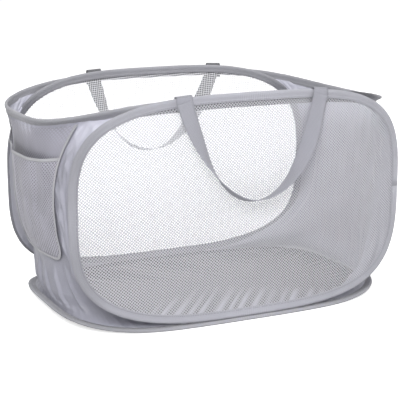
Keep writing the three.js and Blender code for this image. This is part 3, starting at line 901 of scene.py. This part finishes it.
front_turn = turn_at(PANEL_HALF, PANEL_SQUARENESS, HANDLE_X)
rear_turn = turn_at(RING_HALF, RING_SQUARENESS["rear"], HANDLE_X)
tabs = [
    tab("front_left_tab", "front_handle_left_tab", "front_panel", front_loop,
        math.pi - front_turn),
    tab("front_right_tab", "front_handle_right_tab", "front_panel", front_loop, front_turn),
    tab("rear_left_tab", "rear_handle_left_tab", "mouth_ring", mouth_loop,
        math.pi - rear_turn, REAR_TAB_RISE),
    tab("rear_right_tab", "rear_handle_right_tab", "mouth_ring", mouth_loop, rear_turn,
        REAR_TAB_RISE),
]
print("tabs:", len(tabs))

# %% [markdown]
# The nets are cut from flat pieces too. The pouch is cut wider than the back it is sewn to, so
# it is gathered.


# %% [markdown]
# ## Finishes
# Every finish here is cloth or yarn. Dyed cloth is never quite even, so each finish is one
# colour with a soft cloud of lighter and darker in it. A picture of cloth could be laid on
# instead, but it would repeat, and it would blur close to. The rear net is the front net's yarn
# with the bright background behind it, so its yarns are painted paler, as painted backlight.
# The pocket's yarns are thick and close and catch the light unevenly, so they are mottled
# more: partly uneven dye, partly painted light and shade. Its back is the same yarn as the
# pouch, painted darker as painted shade.

# %% Finishes of the nets
def new_node(tree, kind, **values):
    node = tree.nodes.new(kind)
    for key, value in values.items():
        if key in node.inputs:
            node.inputs[key].default_value = value
        else:
            setattr(node, key, value)
    return node


def finish(name, colour, roughness=0.7, sheen=0.3, mottle=0.05, gloss=0.5):
    material = bpy.data.materials.new(name)
    material.use_nodes = True
    tree = material.node_tree
    shader = tree.nodes["Principled BSDF"]
    shader.inputs["Roughness"].default_value = roughness
    shader.inputs["Sheen Weight"].default_value = sheen
    shader.inputs["Specular IOR Level"].default_value = gloss
    place = new_node(tree, "ShaderNodeTexCoord")
    cloud = new_node(tree, "ShaderNodeTexNoise", Scale=22.0, Detail=5.0)
    tree.links.new(place.outputs["Object"], cloud.inputs["Vector"])
    tint = new_node(tree, "ShaderNodeMix", data_type="RGBA")
    tint.inputs["A"].default_value = (*[c * (1 - mottle) for c in colour], 1)
    tint.inputs["B"].default_value = (*[min(1, c * (1 + mottle)) for c in colour], 1)
    tree.links.new(cloud.outputs["Fac"], tint.inputs["Factor"])
    tree.links.new(tint.outputs["Result"], shader.inputs["Base Color"])
    return material


net_finish = finish("pale_net_yarn", (0.58, 0.58, 0.625))
# painted backlight: the rear net is the front net's yarn, painted paler
painted_backlight_finish = finish("painted_backlight_net_yarn", (0.88, 0.88, 0.91))
# pocket yarns: extra mottle is partly painted light and shade; the back is painted darker as
# shade
pouch_finish = finish("pouch_net_yarn", (0.50, 0.49, 0.56), mottle=0.3)
painted_shade_backing_finish = finish("backing_net_yarn_in_painted_shade", (0.42, 0.41, 0.475), mottle=0.25)
print("net finishes:", net_finish.name, painted_backlight_finish.name, pouch_finish.name)

# %% [markdown]
# The weave of tape, webbing and cloth is two crossed waves on the UV map. That map is in
# metres, so the threads keep their size on every piece. They lift the surface as a bump, and
# coarse ones also get painted shade between the threads, in the hollows of the weave.

# %% Weave
TAPE_THREADS = (420, 300)


def maths(tree, operation, *terms):
    node = new_node(tree, "ShaderNodeMath", operation=operation)
    for socket, term in zip(node.inputs, terms):
        if isinstance(term, float):
            socket.default_value = term
        else:
            tree.links.new(term, socket)
    return node.outputs["Value"]


def coordinates(tree, kind):
    place = next(node for node in tree.nodes if node.type == "TEX_COORD")
    return place.outputs[kind]


def mix_colour(material, share, colour, blend_type="MULTIPLY"):
    tree = material.node_tree
    shader = tree.nodes["Principled BSDF"]
    plain = shader.inputs["Base Color"].links[0].from_socket
    mixed = new_node(tree, "ShaderNodeMix", data_type="RGBA", blend_type=blend_type)
    mixed.inputs["B"].default_value = (*colour, 1)
    tree.links.new(share, mixed.inputs["Factor"])
    tree.links.new(plain, mixed.inputs["A"])
    tree.links.new(mixed.outputs["Result"], shader.inputs["Base Color"])
    return material


def weave(material, threads, depth, shade=0.0):
    tree = material.node_tree
    waves = []
    for direction, scale in zip(("X", "Y"), threads):
        wave = new_node(tree, "ShaderNodeTexWave", bands_direction=direction, Scale=scale,
                        Distortion=0.5)
        tree.links.new(coordinates(tree, "UV"), wave.inputs["Vector"])
        waves.append(wave.outputs["Fac"])
    both = maths(tree, "MULTIPLY", *waves)
    bump = new_node(tree, "ShaderNodeBump", Distance=depth)
    tree.links.new(both, bump.inputs["Height"])
    tree.links.new(bump.outputs["Normal"], tree.nodes["Principled BSDF"].inputs["Normal"])
    # painted shade in the hollows between the threads
    if shade:
        mix_colour(material, maths(tree, "SUBTRACT", 1.0, both), (1 - shade,) * 3)
    return material


trim_finish = weave(finish("pale_trim", (0.46, 0.46, 0.49)), TAPE_THREADS, 0.0003, 0.06)
print("trim finish:", trim_finish.name)

# %% [markdown]
# Two lines of thread hold each tape, one on each side of the fold. They are far too fine to
# model, so they are dashes on the UV map. Also, some pieces stand in shade in one part and not
# in another. Lamps could give that, but to move a lamp changes every piece at once. So
# `shade_by_place` paints the shade: it brings a darker tint in over a range along one axis, or
# over two at once. The front tape gets painted shade where it turns down at the left, and the
# rear one below its top run. The mouth's front run is painted dark as the shade behind the
# front net, and the pocket's back as the shade behind the pouch.

# %% Stitches and shading of the tapes
STITCH_PITCH = 3 * MM
STITCH_HALF = 0.4 * MM
TAPE_ROWS = (2.8 * MM, 31.2 * MM)


def split_place(tree, kind):
    split = new_node(tree, "ShaderNodeSeparateXYZ")
    tree.links.new(coordinates(tree, kind), split.inputs[0])
    return split.outputs


def stitch(material):
    tree = material.node_tree
    place = split_place(tree, "UV")
    dash = maths(tree, "PINGPONG", place["X"], STITCH_PITCH / 2)
    seen = maths(tree, "GREATER_THAN", dash, STITCH_PITCH / 8)
    lines = [maths(tree, "COMPARE", place["Y"], row, STITCH_HALF) for row in TAPE_ROWS]
    thread = maths(tree, "MULTIPLY", maths(tree, "MAXIMUM", *lines), seen)
    return mix_colour(material, thread, (0.62, 0.62, 0.64))


def shade_by_place(material, ranges, tint):
    tree = material.node_tree
    place = split_place(tree, "Object")
    share = 1.0
    for axis, start, end in ranges:
        ramp = new_node(tree, "ShaderNodeMapRange", interpolation_type="SMOOTHSTEP")
        ramp.inputs["From Min"].default_value = start
        ramp.inputs["From Max"].default_value = end
        tree.links.new(place[axis], ramp.inputs["Value"])
        share = maths(tree, "MULTIPLY", share, ramp.outputs["Result"])
    return mix_colour(material, share, tint)


def tape_of(name, colour):
    return stitch(weave(finish(name, colour), TAPE_THREADS, 0.0004, 0.10))


tape_finishes = {
    # painted shade: the front tape is darker where it turns down at the left
    "front_tape": shade_by_place(tape_of("lilac_grey_tape", (0.455, 0.455, 0.51)),
                                 (("X", -0.22, -0.27),), (0.82, 0.82, 0.82)),
    # painted shade: the rear tape is darker below its top run
    "rear_tape": shade_by_place(tape_of("rear_tape_cloth", (0.42, 0.42, 0.46)),
                                (("Z", 0.335, 0.295),), (0.58, 0.58, 0.6)),
    # painted shade: the mouth's front run is dark behind the front net
    "mouth_tape": shade_by_place(tape_of("rim_tape", (0.42, 0.42, 0.46)),
                                 (("X", -0.175, -0.14), ("Y", -0.12, -0.155)),
                                 (0.24, 0.24, 0.26)),
    "base_tape": tape_of("foot_tape", (0.42, 0.42, 0.46)),
}
# painted shade: the pocket's back is dark below the pouch's mouth
shade_by_place(painted_shade_backing_finish, (("Z", 0.268, 0.252),), (0.42, 0.42, 0.44))
print("tape finishes:", len(tape_finishes))

# %% [markdown]
# The ends are satin: smooth, with long soft highlights. Their colour is painted brighter at
# the top and darker towards the floor, as painted light and shade, and their strong mottle is
# partly uneven dye, partly painted light and shade of soft folds. The base is the same kind of
# cloth, painted dark as the shade inside the hamper and darker again towards the right end, and
# painted pale on the backs of its ridges and on its tuck as a painted highlight. The webbing is
# coarse, so its threads both stand up and show; the rear handle and its tabs are a copy painted
# dark as painted shade. The wires are drawn steel.

# %% Cloth, webbing and steel
SATIN_THREADS = (900, 900)
WEBBING_THREADS = (160, 420)


def webbing_of(name, colour):
    return weave(finish(name, colour, 0.8), WEBBING_THREADS, 0.0007, 0.22)


# painted shade: the ends' kind of cloth, painted dark for the shade inside the hamper
base_finish = weave(finish("base_cloth_in_painted_shade", (0.115, 0.115, 0.13), 0.34, 0, 0.1, 0.45),
                    SATIN_THREADS, 0.0001)
# painted highlight: the backs of the ridges and the tuck are painted pale
painted_ridge_highlight = new_node(base_finish.node_tree, "ShaderNodeAttribute", attribute_name="raised")
mix_colour(base_finish, painted_ridge_highlight.outputs["Fac"], (0.54, 0.54, 0.6), "MIX")
# painted shade: the base cloth is darker towards the right end
shade_by_place(base_finish, (("X", 0.08, 0.2),), (0.72, 0.72, 0.72))
cloth_finish = weave(finish("satin_grey_cloth", (0.55, 0.55, 0.635), 0.3, 0, 0.16, 0.6),
                     SATIN_THREADS, 0.00008)
# painted light and shade: the ends' cloth is full colour at the top and darker towards the floor
shade_by_place(cloth_finish, (("Z", 0.315, 0.235),), (0.6, 0.6, 0.61))
webbing_finish = webbing_of("grey_webbing", (0.465, 0.465, 0.53))
# painted shade: the rear handle and its tabs are the same webbing, painted dark
shaded_webbing = webbing_of("shaded_webbing", (0.18, 0.18, 0.2))
steel_finish = finish("drawn_steel", (0.5, 0.5, 0.52), 0.3, 0)
steel_finish.node_tree.nodes["Principled BSDF"].inputs["Metallic"].default_value = 1.0
print("finishes:", len(bpy.data.materials))

# %% Dress the pieces
def dress(pieces, material):
    for piece in pieces:
        piece.data.materials.clear()
        piece.data.materials.append(material)


for piece in tapes:
    dress([piece], tape_finishes[piece.name])
dress([hem, trim], trim_finish)
dress([front_net], net_finish)
dress([rear_net], painted_backlight_finish)
dress([pouch], pouch_finish)
dress([pocket_back], painted_shade_backing_finish)
dress(ends, cloth_finish)
dress([base_cloth], base_finish)
dress([front_handle] + tabs[:2], webbing_finish)
dress([rear_handle] + tabs[2:], shaded_webbing)
wires = [piece for node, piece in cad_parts.items()
         if node.endswith(("_spring_wire", "_wire_sleeve"))]
for piece in wires:
    for slot in piece.material_slots:
        slot.material = steel_finish
print("wires and sleeves in steel:", len(wires))

# %% [markdown]
# ## Floor, light and camera
# The floor is plain and pale and keeps the shadow. To the camera it also glows a little, so
# that it runs into the white background without an edge.

# %% Floor
FLOOR_GLOW = 0.7
bm = bmesh.new()
bmesh.ops.create_grid(bm, x_segments=1, y_segments=1, size=30)
floor = finish_mesh("floor", bm, rounded=False)
floor_finish = bpy.data.materials.new("white_floor")
floor_finish.use_nodes = True
tree = floor_finish.node_tree
tree.nodes.clear()
out = new_node(tree, "ShaderNodeOutputMaterial")
diffuse = new_node(tree, "ShaderNodeBsdfDiffuse", Color=(0.8, 0.8, 0.8, 1))
glow = new_node(tree, "ShaderNodeEmission")
path = new_node(tree, "ShaderNodeLightPath")
add = new_node(tree, "ShaderNodeAddShader")
strength = maths(tree, "MULTIPLY", path.outputs["Is Camera Ray"], FLOOR_GLOW)
tree.links.new(strength, glow.inputs["Strength"])
tree.links.new(diffuse.outputs["BSDF"], add.inputs[0])
tree.links.new(glow.outputs["Emission"], add.inputs[1])
tree.links.new(add.outputs["Shader"], out.inputs["Surface"])
dress([floor], floor_finish)
print("floor:", floor.name)

# %% [markdown]
# The world is white to the camera and in reflections, and dimmer as a light, so that the
# colours come out as written. A key lamp from the front left gives the shadow, and two softer
# ones keep the right and the back from going dark.

# %% World and lamps
WORLD_LIGHT = 0.52
world = bpy.data.worlds.new("studio")
bpy.context.scene.world = world
world.use_nodes = True
tree = world.node_tree
tree.nodes.clear()
out = new_node(tree, "ShaderNodeOutputWorld")
back = new_node(tree, "ShaderNodeBackground")
path = new_node(tree, "ShaderNodeLightPath")
seen = maths(tree, "MAXIMUM", path.outputs["Is Camera Ray"], path.outputs["Is Glossy Ray"])
seen = maths(tree, "MAXIMUM", seen, path.outputs["Is Transmission Ray"])
level = new_node(tree, "ShaderNodeMix", A=WORLD_LIGHT, B=1.0)
tree.links.new(seen, level.inputs["Factor"])
tree.links.new(level.outputs["Result"], back.inputs["Strength"])
tree.links.new(back.outputs["Background"], out.inputs["Surface"])


def lamp(name, place, aim, size, power):
    light = bpy.data.lights.new(name, "AREA")
    light.size = size
    light.energy = power
    holder = bpy.data.objects.new(name, light)
    holder.location = place
    holder.rotation_euler = (Vector(aim) - Vector(place)).to_track_quat("-Z", "Y").to_euler()
    bpy.context.scene.collection.objects.link(holder)


lamp("key", (-1.35, -2.1, 2.0), (0, 0, 0.15), 1.2, 70)
lamp("fill", (2.0, -1.2, 1.6), (0, 0, 0.15), 1.8, 22)
lamp("back", (0.6, 2.2, 2.0), (0, 0, 0.2), 1.8, 18)
print("lamps:", len(bpy.data.lights))

# %% [markdown]
# The camera stands where the photograph's did: in front, to the left and a little above. Its
# place and lens were worked out from points of the loops that the photograph shows.

# %% Camera
SENSOR = 36
FOCAL_PIXELS = 1172.7
PHOTO_PIXELS = 400
LOOKS_DOWN = 12.98
LOOKS_RIGHT = 25.55
camera_data = bpy.data.cameras.new("camera")
camera_data.sensor_width = SENSOR
camera_data.lens = FOCAL_PIXELS * SENSOR / PHOTO_PIXELS
camera = bpy.data.objects.new("camera", camera_data)
camera.location = (-0.8235, -1.719, 0.5904)
camera.rotation_euler = (math.radians(90 - LOOKS_DOWN), 0, math.radians(-LOOKS_RIGHT))
bpy.context.scene.collection.objects.link(camera)
bpy.context.scene.camera = camera
bpy.context.scene.view_settings.view_transform = "Standard"
print("lens:", round(camera_data.lens, 2), "mm")
